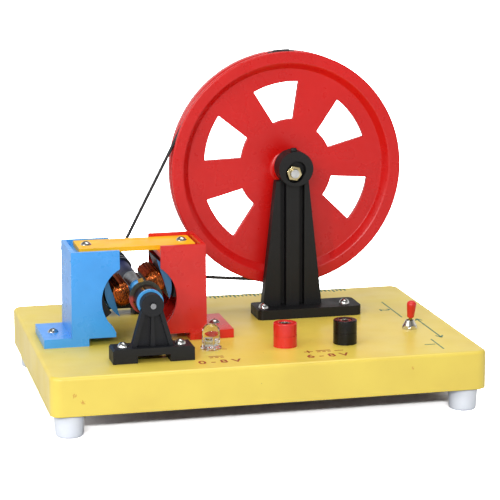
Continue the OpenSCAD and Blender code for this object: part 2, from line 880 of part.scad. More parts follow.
module resistor() {
    color("#CDB48A") translate([led_at[0] - 16, led_at[1] + 6, top_z - 12]) rotate([0, 90, 0]) {
        cylinder(r = 1.2, h = 6);
        for (z = [0.7, 5.3]) translate([0, 0, z - 0.6]) cylinder(r = 1.4, h = 1.2);
        translate([0, 0, -5]) cylinder(r = 0.3, h = 16, $fn = 24);
    }
}

module toggle_body() {
    body_top = top_z - tray_wall;
    color("#2F3F86") difference() {
        union() {
            translate([switch_at[0] - 4, switch_at[1] - 6.6, body_top - 9]) cube([8, 13.2, 9]);
            for (y = [-4.7, 0, 4.7])
                translate([switch_at[0] - 1, switch_at[1] + y - 0.4, body_top - 12.5]) cube([2, 0.8, 4]);
        }
        translate([switch_at[0], switch_at[1], body_top - 3]) cylinder(r = 2.9, h = 4);
    }
}

module toggle_bushing() {
    color("#B9B4A8") translate([switch_at[0], switch_at[1], top_z]) difference() {
        union() {
            translate([0, 0, -tray_wall - 2.8]) cylinder(r = 2.8, h = tray_wall + 2.8 + 2.1);
            translate([0, 0, 2.1]) cylinder(r1 = 3.9, r2 = 2.5, h = 2.8);
        }
        translate([0, 0, -tray_wall - 4]) cylinder(r = 1.9, h = tray_wall + 4.4);
        cylinder(r1 = 1.9, r2 = 2.15, h = 5);
    }
}

module toggle_nut() {
    color("#CBC6BC") translate([switch_at[0], switch_at[1], top_z]) difference() {
        intersection() {
            rotate([0, 0, 10]) cylinder(r = 4.7, h = 2.1, $fn = 6);
            cylinder(r1 = 5, r2 = 4.1, h = 2.1);
        }
        translate([0, 0, -1]) cylinder(r = 2.8, h = 4);
    }
}

// The lever leans to the front at rest and swings over to the back.
module on_lever() {
    translate([switch_at[0], switch_at[1], top_z + lever_pivot_up]) rotate([lever_tilt, 0, 0]) children();
}

module toggle_lever() {
    color("#A89058") on_lever() {
        sphere(1.5);
        rotate([0, 90, 0]) cylinder(r = 0.6, h = 3.4, center = true);
        cylinder(r = 1, h = 13);
        translate([0, 0, -3]) cylinder(r = 0.8, h = 3);
    }
}

module toggle_cap() {
    cap_from = 5.4;
    cap_l = 10.6;
    color("#D8231F") on_lever() translate([0, 0, cap_from]) difference() {
        rotate_extrude() {
            polygon([[0, 0], [1.5, 0], [1.75, 0.3], [2.3, 4.5], [2.7, cap_l - 1.6], [0, cap_l - 1.6]]);
            intersection() {
                translate([1.1, cap_l - 1.6]) circle(1.6, $fn = 48);
                square([3, cap_l]);
            }
            square([1.1, cap_l]);
        }
        translate([0, 0, -1]) cylinder(r = 1, h = 13 - cap_from + 1);
    }
}

function unit(v) = v / norm(v);

// A route with each of its corners turned into a bend of a few points.
function bent(route, bend = 4, steps = 4) = concat([route[0]],
    [for (i = [1 : len(route) - 2])
        let (a = route[i] + bend * unit(route[i - 1] - route[i]),
            b = route[i] + bend * unit(route[i + 1] - route[i]))
            for (k = [0 : steps])
                let (t = k / steps)
                    (1 - t) * (1 - t) * a + 2 * t * (1 - t) * route[i] + t * t * b],
    [route[len(route) - 1]]);

function headings(p) =
    [for (i = [0 : len(p) - 1]) unit(p[min(i + 1, len(p) - 1)] - p[max(i - 1, 0)])];

// A sideways direction at every point, carried along without twist.
function carried(t, side, i = 0) = i == len(t) ? [] :
    let (s = unit(side - (side * t[i]) * t[i])) concat([s], carried(t, s, i + 1));

// A wire of eight sides along a route with rounded corners.
module wire_run(route) {
    wire_r = 0.7;
    sides = 8;
    p = bent(route);
    t = headings(p);
    u = carried(t, [0.6, 0.8, 0.1]);
    ring_points = [for (i = [0 : len(p) - 1], k = [0 : sides - 1])
        p[i] + wire_r * (cos(k * 360 / sides) * u[i] + sin(k * 360 / sides) * cross(t[i], u[i]))];
    walls = [for (i = [0 : len(p) - 2], k = [0 : sides - 1])
        let (a = i * sides + k, b = i * sides + (k + 1) % sides)
            each [[a, a + sides, b], [b, a + sides, b + sides]]];
    start_face = [for (k = [0 : sides - 1]) k];
    end_face = [for (k = [sides - 1 : -1 : 0]) (len(p) - 1) * sides + k];
    polyhedron(ring_points, concat([start_face, end_face], walls));
}

wire_z = top_z - 14;
wire_start = top_z - 9.2;

module wires_red() {
    low = wire_z - 2.4;
    color("#B3201C") {
        wire_run([[red_terminal[0], red_terminal[1], wire_start], [red_terminal[0], red_terminal[1], low],
            [60, -62, low], [switch_at[0] - 6, switch_at[1] - 12, wire_z - 4],
            [switch_at[0], switch_at[1] - 4.7, wire_z - 1.1]]);
        wire_run([[switch_at[0], switch_at[1], wire_z - 1.1], [switch_at[0] - 4, switch_at[1] + 6, wire_z - 4],
            [60, -10, wire_z], [-40, -25, wire_z],
            [motor_x + brush_dx, brush_y, wire_z + 2], [motor_x + brush_dx, brush_y, top_z]]);
    }
}

module wires_black() {
    high = wire_z - 0.4;
    color("#202020")
        wire_run([[black_terminal[0], black_terminal[1], wire_start], [black_terminal[0], black_terminal[1], high],
            [10, -66, high], [-40, -62, high], [motor_x - brush_dx, brush_y, wire_z],
            [motor_x - brush_dx, brush_y, top_z]]);
}

base_tray();
bottom_plate();
feet();
foot_screws();
magnet_housing_blue();
magnet_housing_red();
magnet_left();
magnet_right();
top_bridge();
bridge_screws();
housing_screws();
front_bearing();
rear_bearing();
bearing_screws();
brush_block();
brush_leaves();
shaft();
armature_core();
core_end_sheets();
coil_left();
coil_right();
commutator_core();
commutator_segments();
commutator_disc();
solder_tabs();
shaft_collar();
front_spacer();
rear_spacer();
pulley();
wheel_upright();
upright_screws();
wheel_axle();
axle_nut();
axle_washers();
drive_wheel();
wheel_bush();
knob_pin();
crank_knob();
drive_belt();
terminal_red();
terminal_black();
terminal_sockets();
terminal_nuts();
led_lens();
led_leads();
resistor();
toggle_body();
toggle_bushing();
toggle_nut();
toggle_lever();
toggle_cap();
wires_red();
wires_black();
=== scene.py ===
# %% [markdown]
# # Demonstration motor generator
# A teaching model: a two-pole armature turns between two magnet housings, a long belt ties it to a
# large red wheel, and a yellow base carries sockets, a lamp and a switch. The rigid parts come from
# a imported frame, in metres, with the origin under the middle of the base. This notebook gives them
# their finishes, and makes the pieces whose detail is too fine for the frame.

# %% Load the frame
import json
import math
import random

import bmesh
import bpy
from mathutils import Matrix, Vector

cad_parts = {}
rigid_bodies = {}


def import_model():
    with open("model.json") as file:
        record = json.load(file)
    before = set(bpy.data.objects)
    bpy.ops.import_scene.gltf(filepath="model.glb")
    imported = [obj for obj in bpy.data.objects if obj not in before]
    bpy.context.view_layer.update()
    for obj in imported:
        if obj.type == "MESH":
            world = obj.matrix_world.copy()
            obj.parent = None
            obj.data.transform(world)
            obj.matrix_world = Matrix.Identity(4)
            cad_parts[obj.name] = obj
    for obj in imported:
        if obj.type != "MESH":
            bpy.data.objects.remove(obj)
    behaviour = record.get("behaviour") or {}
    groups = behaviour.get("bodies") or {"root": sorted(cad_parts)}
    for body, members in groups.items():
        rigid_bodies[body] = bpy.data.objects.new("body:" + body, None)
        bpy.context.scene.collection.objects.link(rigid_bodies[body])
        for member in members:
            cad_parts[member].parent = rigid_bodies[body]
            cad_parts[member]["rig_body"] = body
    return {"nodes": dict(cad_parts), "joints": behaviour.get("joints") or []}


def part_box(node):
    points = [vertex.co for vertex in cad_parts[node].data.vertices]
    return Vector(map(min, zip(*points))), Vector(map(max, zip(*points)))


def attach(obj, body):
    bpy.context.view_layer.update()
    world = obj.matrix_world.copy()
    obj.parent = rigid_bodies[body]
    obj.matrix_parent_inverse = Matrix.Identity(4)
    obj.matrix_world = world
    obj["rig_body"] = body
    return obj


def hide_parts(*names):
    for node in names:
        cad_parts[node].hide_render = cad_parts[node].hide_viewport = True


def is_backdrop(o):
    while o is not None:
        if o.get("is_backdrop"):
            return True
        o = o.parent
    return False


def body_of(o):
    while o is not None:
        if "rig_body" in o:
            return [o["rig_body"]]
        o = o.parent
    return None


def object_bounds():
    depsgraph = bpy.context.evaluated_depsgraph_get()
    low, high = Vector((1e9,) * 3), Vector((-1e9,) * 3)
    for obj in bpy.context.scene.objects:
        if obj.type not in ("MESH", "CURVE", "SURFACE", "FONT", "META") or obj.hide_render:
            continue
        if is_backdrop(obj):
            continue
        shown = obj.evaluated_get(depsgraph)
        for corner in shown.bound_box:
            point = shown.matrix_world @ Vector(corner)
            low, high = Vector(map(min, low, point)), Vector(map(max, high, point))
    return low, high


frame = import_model()
cad_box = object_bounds()
nodes = frame["nodes"]
MM = 0.001

# %% [markdown]
# ## Places taken from the frame
# The frame knows where each part is, so the lines below ask it for the base top, the shaft, the wheel
# and the switch. A later piece that sits on one of them takes its place from these values, which is
# safer than typing the numbers a second time.


# %% Ask the frame for its places
def middle(node):
    """The middle of a frame node's box."""
    low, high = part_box(node)
    return (low + high) / 2


def joint_place(name):
    """A point on a joint's axis."""
    joint = next(j for j in frame["joints"] if j["name"] == name)
    return Vector(joint["pos_m"])


base_low, base_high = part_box("base_tray")
deck = base_high.z / MM
shaft_at = joint_place("armature_spin")
wheel_at = joint_place("wheel_spin")
lever_at = joint_place("switch_lever")
print("base top", round(deck, 2), "shaft", shaft_at / MM, "wheel", wheel_at / MM)

# %% [markdown]
# ## The camera
# The photograph looks slightly down on the model, from a little left of its front. A place and three
# angles say where the camera is and how it is turned, and a long lens keeps the depth flat, as product
# pictures do. The picture was cropped off its optical middle, so the camera has a small shift too.

# %% Set up the camera
azimuth, elevation, roll = (math.radians(angle) for angle in (-12.860, 11.545, -0.262))
camera_at = Vector((-246.41, -1064.35, 306.70)) * MM
back = Vector((
    math.sin(azimuth) * math.cos(elevation),
    -math.cos(azimuth) * math.cos(elevation),
    math.sin(elevation),
))
level_right = Vector((math.cos(azimuth), math.sin(azimuth), 0))
level_up = back.cross(level_right)
right = level_right * math.cos(roll) + level_up * math.sin(roll)
up = level_up * math.cos(roll) - level_right * math.sin(roll)

camera_data = bpy.data.cameras.new("camera")
camera_data.sensor_width = 36
camera_data.lens = 141.68
camera_data.shift_x = 0.0339
camera_data.shift_y = -0.0129
camera = bpy.data.objects.new("camera", camera_data)
camera.matrix_world = Matrix.Translation(camera_at) @ Matrix((right, up, back)).transposed().to_4x4()
bpy.context.scene.collection.objects.link(camera)
bpy.context.scene.camera = camera
bpy.context.scene.view_settings.view_transform = "Standard"
print("camera", [round(value / MM) for value in camera_at])

# %% [markdown]
# ## Materials from small parts
# A material is a tree of nodes. One helper adds a node, sets its values and joins its inputs, so a
# finish reads as a short list of what it is made of. Colours are written as the hex values that a
# painter would pick from a picture, and one function turns them to the linear numbers of the light.


# %% Helpers for colours and nodes
def linear(hex_colour):
    """An sRGB hex colour as linear red, green, blue and a full alpha."""
    channels = [int(hex_colour[i:i + 2], 16) / 255 for i in (1, 3, 5)]
    return (*[c / 12.92 if c <= 0.04045 else ((c + 0.055) / 1.055) ** 2.4 for c in channels], 1)


def add(tree, kind, sockets=None, **properties):
    """Adds a node. A socket, by name or number, takes a value or the output of another node."""
    node = tree.nodes.new("ShaderNode" + kind)
    for name, value in properties.items():
        setattr(node, name, value)
    for key, value in (sockets or {}).items():
        if isinstance(value, bpy.types.NodeSocket):
            tree.links.new(value, node.inputs[key])
        else:
            node.inputs[key].default_value = value
    return node


def per(size_mm):
    """The scale that gives a pattern features of that size, on coordinates in metres."""
    return 1 / (size_mm * MM)


def begin(name):
    """A new material: its tree, and the place on the piece in metres."""
    material = bpy.data.materials.new(name)
    material.use_nodes = True
    tree = material.node_tree
    tree.nodes.clear()
    return material, tree, add(tree, "TexCoord").outputs["Object"]


def close(tree, shader):
    """Joins the finished shader to the material's output."""
    add(tree, "OutputMaterial", {"Surface": shader.outputs[0]})


# %% Helpers for patterns
def shade(tree, place, colour, darker, size_mm, amount=1.0):
    """A colour that drifts towards a second one in soft clouds of that size."""
    cloud = add(tree, "TexNoise", {"Vector": place, "Scale": per(size_mm), "Detail": 3.0})
    level = add(tree, "MapRange", {
        "Value": cloud.outputs["Fac"], "From Min": 0.35, "From Max": 0.7, "To Max": amount})
    return add(tree, "Mix", {
        0: level.outputs[0], 6: linear(colour), 7: linear(darker)}, data_type="RGBA").outputs[2]


def grain(tree, place, size_mm, height_mm):
    """A fine relief on the surface, as the mould or the tool left it."""
    cloud = add(tree, "TexNoise", {"Vector": place, "Scale": per(size_mm), "Detail": 2.0})
    return add(tree, "Bump", {
        "Height": cloud.outputs["Fac"], "Distance": height_mm * MM, "Strength": 1.0}).outputs[0]


def rough(tree, place, low, high, size_mm):
    """A roughness that wanders between two levels, as handling leaves it."""
    cloud = add(tree, "TexNoise", {"Vector": place, "Scale": per(size_mm), "Detail": 4.0})
    return add(tree, "MapRange", {
        "Value": cloud.outputs["Fac"], "From Min": 0.3, "From Max": 0.7,
        "To Min": low, "To Max": high}).outputs[0]


# %% [markdown]
# ## Moulded plastics
# Most of the model is injection moulded: glossy ABS for the housings and the wheel, a satin
# polystyrene base, black nylon stands. They share one build: a colour that clouds very slightly, a
# gloss that handling has dulled in places, and the fine relief of the mould. Plastic reflects as a
# clear layer over its colour, so the metallic value is nought and the index of refraction about 1.5.
# The black and navy pieces have a lower index, because dust and fine texture weaken their reflection.


# %% A function for moulded plastic
def moulded(name, colour, darker, gloss, grain_mm, relief_mm, cloud_mm=14, ior=1.5):
    """Moulded plastic. gloss is its lowest and highest roughness."""
    material, tree, place = begin(name)
    close(tree, add(tree, "BsdfPrincipled", {
        "Base Color": shade(tree, place, colour, darker, cloud_mm),
        "Roughness": rough(tree, place, gloss[0], gloss[1], 9),
        "Normal": grain(tree, place, grain_mm, relief_mm),
        "IOR": ior}))
    return material


blue_abs = moulded("blue glossy ABS", "#43A0F0", "#3E98E6", (0.26, 0.32), 2.5, 0.002)
red_abs = moulded("red glossy ABS", "#D3211A", "#CA1D18", (0.26, 0.32), 2.5, 0.002)
wheel_abs = moulded("wheel red ABS", "#CF1310", "#C4110E", (0.25, 0.32), 5.0, 0.002, cloud_mm=40, ior=1.46)
black_nylon = moulded("black nylon", "#15171C", "#101116", (0.45, 0.58), 0.7, 0.012, ior=1.37)
spark_black = moulded("black spark-textured ABS", "#0F0F11", "#0B0B0C", (0.45, 0.58), 0.5, 0.02, ior=1.37)
foot_pvc = moulded("white soft PVC", "#E6EBF4", "#DDE3EE", (0.35, 0.5), 0.8, 0.006, ior=1.53)
cap_black = moulded("black terminal plastic", "#0B0B0C", "#080809", (0.24, 0.34), 1.5, 0.004, ior=1.34)
cap_red = moulded("red terminal plastic", "#DC2A26", "#CE2320", (0.18, 0.28), 1.5, 0.004)
sleeve_vinyl = moulded("red vinyl sleeve", "#DB2A24", "#CC211E", (0.28, 0.4), 0.9, 0.006)
# The rear spacer's navy is painted shade: a blue nylon spacer, drawn darker for the shade it sits in at
# the back of the armature
painted_shade_spacer = moulded("blue nylon in painted shade", "#0D1B58", "#0A1549", (0.5, 0.6), 1.0, 0.006, ior=1.35)
pulley_plastic = moulded("slate acetal", "#37414F", "#2E3743", (0.25, 0.35), 1.0, 0.006)
collar_blue = moulded("light blue nylon", "#4FA6E6", "#4398D8", (0.25, 0.35), 1.0, 0.006)
switch_phenolic = moulded("blue phenolic", "#2C3C82", "#263474", (0.35, 0.5), 0.6, 0.008)
wire_red_pvc = moulded("red PVC insulation", "#B0221D", "#A01C19", (0.35, 0.45), 0.8, 0.004)
wire_black_pvc = moulded("black PVC insulation", "#1C1C1D", "#161617", (0.35, 0.45), 0.8, 0.004)
ferrite = moulded("pressed ferrite", "#101012", "#0B0B0D", (0.45, 0.6), 0.4, 0.015, ior=1.4)
belt_nitrile = moulded("nitrile rubber cord", "#252527", "#1C1C1E", (0.55, 0.7), 0.4, 0.01)
print("plastics ready")

# %% [markdown]
# ## The base plastic
# The base is one large satin moulding. Close up it isn't one colour: there are lighter and darker
# clouds a few centimetres wide, and here and there a dark speck that was in the plastic when it was
# moulded. Specks are the middles of a few cells of a Voronoi pattern, picked by the random colour of
# each cell. Three small worn spots on the front face show an orange brown ground, two near its left
# end and one near its right. An image could hold them, but a ball round each place, made ragged by
# noise, needs none.


# %% Base plastic
# Each worn spot has its x, its z and its radius, in millimetres
worn_spots = [(-107.3, 24.6, 1.0), (-103.1, 20.5, 1.2), (76.8, 27.7, 0.7)]


def base_plastic():
    """Yellow satin polystyrene with clouds, specks and the relief of a textured mould."""
    material, tree, place = begin("yellow satin polystyrene")
    colour = shade(tree, place, "#E3CB54", "#DAC04E", 30, amount=0.8)
    cells = add(tree, "TexVoronoi", {"Vector": place, "Scale": per(7)})
    near = add(tree, "MapRange", {
        "Value": cells.outputs["Distance"], "From Min": 0.05, "From Max": 0.02})
    chosen = add(tree, "Math", {
        0: add(tree, "SeparateColor", {0: cells.outputs["Color"]}).outputs[0], 1: 0.94},
        operation="GREATER_THAN")
    speck = add(tree, "Math", {0: near.outputs[0], 1: chosen.outputs[0]}, operation="MULTIPLY")
    spotted = add(tree, "Mix", {0: speck.outputs[0], 6: colour, 7: linear("#6E5322")}, data_type="RGBA")
    ragged = add(tree, "TexNoise", {"Vector": place, "Scale": per(0.9), "Detail": 3.0}).outputs["Color"]
    shift = add(tree, "VectorMath", {0: ragged, 1: (-0.5, -0.5, -0.5)}, operation="ADD").outputs[0]
    spread = add(tree, "VectorMath", {0: shift, "Scale": 4 * MM}, operation="SCALE").outputs[0]
    torn = add(tree, "VectorMath", {0: place, 1: spread}, operation="ADD").outputs[0]
    for spot_x, spot_z, spot_r in worn_spots:
        reach = add(tree, "VectorMath", {
            0: torn, 1: (spot_x * MM, base_low.y, spot_z * MM)}, operation="DISTANCE").outputs["Value"]
        worn = add(tree, "MapRange", {
            "Value": reach, "From Min": 0.7 * spot_r * MM, "From Max": spot_r * MM,
            "To Min": 0.7, "To Max": 0.0})
        spotted = add(tree, "Mix", {
            0: worn.outputs[0], 6: spotted.outputs[2], 7: linear("#C27A2A")}, data_type="RGBA")
    close(tree, add(tree, "BsdfPrincipled", {
        "Base Color": spotted.outputs[2],
        "Roughness": rough(tree, place, 0.3, 0.42, 18),
        "Normal": grain(tree, place, 0.7, 0.008),
        "IOR": 1.59}))
    return material


base_yellow = base_plastic()
orange_plate = moulded("orange lacquered plate", "#FCC012", "#F4B20F", (0.34, 0.46), 2.0, 0.006, ior=1.42)
print("base plastic ready")

# %% [markdown]
# ## Hardboard, resistor and fibre
# The plate that closes the base is brown hardboard, the resistor is dipped in tan lacquer, and the
# commutator is pressed on a fibre disc. The disc is dark olive, clouded darker in small patches, and a
# run of brick red varnish has dried low on its left side.


# %% Hardboard, resistor and fibre disc
hardboard = moulded("brown hardboard", "#3A281D", "#2C1E16", (0.6, 0.75), 0.5, 0.03, cloud_mm=2)
resistor_lacquer = moulded("tan lacquer", "#CDB48A", "#C2A97F", (0.3, 0.4), 1.0, 0.004)


def varnished_fibre():
    """Dark fibre, with a brick red run of varnish low on the side that is left of the shaft."""
    material, tree, place = begin("dark vulcanised fibre")
    bare = shade(tree, place, "#2F3326", "#1C1B15", 1.6)
    run = shaft_at + Vector((-9.0, 0, -4.5)) * MM
    level = add(tree, "SeparateXYZ", {0: place}).outputs
    across = add(tree, "CombineXYZ", {0: level["X"], 2: level["Z"]}).outputs[0]
    reach = add(tree, "VectorMath", {0: across, 1: (run.x, 0, run.z)}, operation="DISTANCE")
    red = add(tree, "MapRange", {
        "Value": reach.outputs["Value"], "From Min": 6.5 * MM, "From Max": 4.5 * MM})
    painted = add(tree, "Mix", {0: red.outputs[0], 6: bare, 7: linear("#A03A30")}, data_type="RGBA")
    close(tree, add(tree, "BsdfPrincipled", {
        "Base Color": painted.outputs[2],
        "Roughness": rough(tree, place, 0.45, 0.6, 2),
        "Normal": grain(tree, place, 0.8, 0.03)}))
    return material


fibre = varnished_fibre()
print("hardboard, lacquer and fibre ready")

# %% [markdown]
# ## Metals
# A metal takes its colour in the reflection, so metallic is one and the base colour is bright.
# Zinc and nickel plate differ from ground steel by their roughness and their tint. The marks of the
# tool are some hundredths of a millimetre wide, too fine to show here, so a noise of a few tenths of a
# millimetre stands for them. The end sheets of the core are lacquered blue, so they look like a plastic
# and are built as one.


# %% A function for metals
def metal(name, colour, darker, gloss, grain_mm, relief_mm, cloud_mm=3):
    """A bare or plated metal. gloss is its lowest and highest roughness."""
    material, tree, place = begin(name)
    close(tree, add(tree, "BsdfPrincipled", {
        "Base Color": shade(tree, place, colour, darker, cloud_mm),
        "Metallic": 1.0,
        "Roughness": rough(tree, place, gloss[0], gloss[1], 4),
        "Normal": grain(tree, place, grain_mm, relief_mm)}))
    return material


zinc = metal("bright zinc plate", "#D2D2D0", "#B9B8B4", (0.16, 0.26), 0.3, 0.003)
nickel = metal("nickel plate", "#D8D4C9", "#BDB8AA", (0.14, 0.24), 0.3, 0.002)
nut_zinc = metal("yellow passivated zinc", "#CDBF94", "#AC9B6E", (0.16, 0.26), 0.3, 0.003)
shaft_steel = metal("ground steel", "#A5A5A6", "#8F8F92", (0.22, 0.32), 0.2, 0.003)
stack_steel = metal("bare core steel", "#8E9297", "#6E7277", (0.3, 0.45), 0.5, 0.006)
brush_bronze = metal("phosphor bronze", "#B97A35", "#9C6428", (0.25, 0.38), 0.4, 0.003)
bush_brass = metal("turned brass", "#C29A49", "#A9833A", (0.22, 0.34), 0.3, 0.003)
lever_brass = metal("tarnished brass", "#8F7B45", "#6F5F35", (0.28, 0.42), 0.6, 0.004)
bar_copper = metal("oxidised copper", "#6B3D26", "#4A2A1B", (0.26, 0.42), 0.6, 0.004)
core_lacquer = moulded("blue core lacquer", "#2B70A2", "#24618F", (0.24, 0.36), 1.0, 0.006, ior=1.55)
print("metals ready")

# %% [markdown]
# ## Enamelled wire
# Magnet wire is copper under a thin clear varnish. The metal gives the orange glint, the varnish a
# weak white one, and a dull edge tint keeps the turns brown where they are seen at a low angle. The
# turns stand in each other's shadow and read as dark lines between the glints.

# %% Magnet wire
wire_varnish, tree, place = begin("enamelled copper wire")
close(tree, add(tree, "BsdfPrincipled", {
    "Base Color": shade(tree, place, "#BC622C", "#6A341C", 1.2),
    "Metallic": 1.0,
    "Roughness": 0.22,
    "Specular Tint": linear("#A09288"),
    "Coat Weight": 0.04,
    "Coat Roughness": 0.2,
    "Coat IOR": 1.6}))
print("wire varnish ready")

# %% [markdown]
# ## Clear epoxy
# The lamp is cast in clear epoxy: light goes through it and bends, so transmission is one and the
# index of refraction 1.52. It is never quite colourless, and the casting leaves a faint waviness.

# %% Clear epoxy
epoxy, tree, place = begin("clear epoxy")
close(tree, add(tree, "BsdfPrincipled", {
    "Base Color": linear("#F4F1EC"),
    "Transmission Weight": 1.0,
    "Roughness": 0.04,
    "Normal": grain(tree, place, 3, 0.01),
    "IOR": 1.52}))
print("epoxy ready")

# %% [markdown]
# ## Which part has which finish
# One table joins the frame's parts to their finishes. A part that is made again below keeps its line
# here too, because a softened copy takes its finish from the part, and because the hidden part still
# has to look right if somebody shows it.

# %% Give the frame its finishes
finishes = {
    base_yellow: ["base_tray"],
    hardboard: ["bottom_plate"],
    foot_pvc: ["feet"],
    blue_abs: ["magnet_housing_blue"],
    red_abs: ["magnet_housing_red"],
    ferrite: ["magnet_left", "magnet_right"],
    orange_plate: ["top_bridge"],
    black_nylon: ["front_bearing", "rear_bearing", "brush_block", "crank_knob"],
    spark_black: ["wheel_upright"],
    zinc: ["foot_screws", "bridge_screws", "housing_screws", "bearing_screws", "upright_screws",
           "wheel_axle", "axle_washers", "knob_pin", "terminal_nuts", "led_leads"],
    nut_zinc: ["axle_nut"],
    nickel: ["terminal_sockets", "toggle_bushing", "toggle_nut"],
    shaft_steel: ["shaft"],
    stack_steel: ["armature_core"],
    core_lacquer: ["core_end_sheets"],
    wire_varnish: ["coil_left", "coil_right"],
    fibre: ["commutator_core", "commutator_disc"],
    bar_copper: ["commutator_segments"],
    bush_brass: ["solder_tabs", "wheel_bush"],
    brush_bronze: ["brush_leaves"],
    collar_blue: ["shaft_collar", "front_spacer"],
    # The rear spacer's navy colour is painted shade
    painted_shade_spacer: ["rear_spacer"],
    pulley_plastic: ["pulley"],
    wheel_abs: ["drive_wheel"],
    belt_nitrile: ["drive_belt"],
    cap_red: ["terminal_red"],
    cap_black: ["terminal_black"],
    epoxy: ["led_lens"],
    resistor_lacquer: ["resistor"],
    switch_phenolic: ["toggle_body"],
    lever_brass: ["toggle_lever"],
    sleeve_vinyl: ["toggle_cap"],
    wire_red_pvc: ["wires_red"],
    wire_black_pvc: ["wires_black"],
}
for material, names in finishes.items():
    for name in names:
        nodes[name].data.materials.clear()
        nodes[name].data.materials.append(material)
unfinished = set(nodes) - {name for names in finishes.values() for name in names}
print("nodes without a finish:", sorted(unfinished))

# %% [markdown]
# ## From a bmesh to a piece
# Every new piece ends the same way. Its mesh is shaped in millimetres, its doubles are merged, its
# faces are turned outwards and it is scaled to metres. Then it rides on a body of the frame, and may
# stand for a part of the frame, which is then hidden. Two smaller helpers put meshes together.


def join(shape, other):
    """Adds another bmesh to the mesh, and frees it."""
    held = bpy.data.meshes.new("held")
    other.to_mesh(held)
    other.free()
    shape.from_mesh(held)
    bpy.data.meshes.remove(held)


def join_curve(shape, curve):
    """Adds a curve or a text to the mesh, turned to faces."""
    holder = bpy.data.objects.new("holder", curve)
    shape.from_mesh(bpy.data.meshes.new_from_object(holder))
    bpy.data.objects.remove(holder)


def piece(name, shape, material, like, replaced=(), smooth_deg=35):
    """Makes an object of the bmesh, on the body of the frame part that like names."""
    bmesh.ops.remove_doubles(shape, verts=shape.verts, dist=0.002)
    bmesh.ops.recalc_face_normals(shape, faces=shape.faces)
    bmesh.ops.scale(shape, vec=Vector((MM, MM, MM)), verts=shape.verts)
    data = bpy.data.meshes.new(name)
    shape.to_mesh(data)
    shape.free()
    data.materials.append(material)
    data.shade_smooth()
    data.set_sharp_from_angle(angle=math.radians(smooth_deg))
    made = bpy.data.objects.new(name, data)
    bpy.context.scene.collection.objects.link(made)
    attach(made, body_of(nodes[like])[0])
    if replaced:
        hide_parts(*replaced)
    return made


# %% [markdown]
# ## Edges that catch the light
# No moulded part has a knife edge: the mould leaves a radius of some tenths of a millimetre, and the
# thin bright line along it is what tells the eye that the part is plastic. The frame's parts have
# exact edges, so those below are copied, their loose triangles are merged to whole faces, and a bevel
# of two steps rounds every sharp edge. Weighted normals then keep the large faces flat. A bevel in the
# shader would be cheaper, but it wouldn't change the outline or reach other programs.
# Four copies are also corrected before the bevel, by moving or cutting a few of their vertices: the
# ribs of both shaft stands become thin blades, the wheel gets a slimmer hub and a wider lip, and the
# right magnet ends a little higher, as each of them looks in the photograph.


# %% Corrections to four of the copies
def narrow_rib(shape):
    """Draws the middle rib of a shaft stand in to the thin blade that the mould really gives."""
    close_by = 0.08
    foot_z, neck_z = 6.0, 25.6
    foot_half, neck_half = 3.6, 1.1
    blade_foot, blade_neck = 1.4, 0.7
    for vert in shape.verts:
        across = vert.co.x - shaft_at.x / MM
        rise = (vert.co.z - deck - foot_z) / (neck_z - foot_z)
        half = foot_half + (neck_half - foot_half) * rise
        if 0 < rise <= 1 and abs(abs(across) - half) < close_by:
            blade = blade_foot + (blade_neck - blade_foot) * rise
            vert.co.x = shaft_at.x / MM + math.copysign(blade, across)


def wheel_front(shape):
    """Slims the hub in front of the wheel's web and opens the lip of its rim a little."""
    lip_back, web_front = 36.5, 40.05
    hub_low, hub_high, hub_slimmer = 8, 14.5, 3.8
    lip_low, lip_high, lip_wider = 60, 62.2, 1.1
    for vert in shape.verts:
        spoke = Vector((vert.co.x - wheel_at.x / MM, 0, vert.co.z - wheel_at.z / MM))
        if vert.co.y < web_front and hub_low < spoke.length < hub_high:
            vert.co -= hub_slimmer * spoke.normalized()
        elif vert.co.y < lip_back and lip_low < spoke.length < lip_high:
            vert.co += lip_wider * spoke.normalized()


def short_magnet(shape):
    """Cuts the lower end off the right magnet, so that the red wall shows below it."""
    end_below_shaft = 6
    bmesh.ops.bisect_plane(shape, geom=[*shape.verts, *shape.edges, *shape.faces], dist=0.001,
                           plane_co=(0, 0, shaft_at.z / MM - end_below_shaft), plane_no=(0, 0, -1),
                           clear_outer=True)
    bmesh.ops.holes_fill(shape, edges=[edge for edge in shape.edges if edge.is_boundary], sides=0)


# %% Soften a copy
sharp_deg, bevel_steps = 32, 2
corrections = {
    "front_bearing": narrow_rib, "rear_bearing": narrow_rib, "drive_wheel": wheel_front,
    "magnet_right": short_magnet}


def softened(node, radius_mm):
    """A merged copy of a frame part with its sharp edges rounded, which takes the part's place."""
    original = nodes[node].data
    shape = bmesh.new()
    shape.from_mesh(original)
    bmesh.ops.scale(shape, vec=Vector((1, 1, 1)) / MM, verts=shape.verts)
    bmesh.ops.remove_doubles(shape, verts=shape.verts, dist=0.02)
    if node in corrections:
        corrections[node](shape)
    bmesh.ops.dissolve_limit(shape, angle_limit=math.radians(1), verts=shape.verts, edges=shape.edges)
    sharp = [edge for edge in shape.edges
             if edge.is_manifold and edge.calc_face_angle() > math.radians(sharp_deg)]
    bmesh.ops.bevel(shape, geom=sharp, offset=radius_mm, offset_type="OFFSET",
                    segments=bevel_steps, profile=0.5, affect="EDGES", material=-1, clamp_overlap=True)
    made = piece("moulded_" + node, shape, original.materials[0], node, [node])
    # Normals kept from the frame's part don't fit the rounded faces
    custom = made.data.attributes.get("custom_normal")
    if custom:
        made.data.attributes.remove(custom)
    even = made.modifiers.new("even faces", "WEIGHTED_NORMAL")
    even.keep_sharp = True
    return made


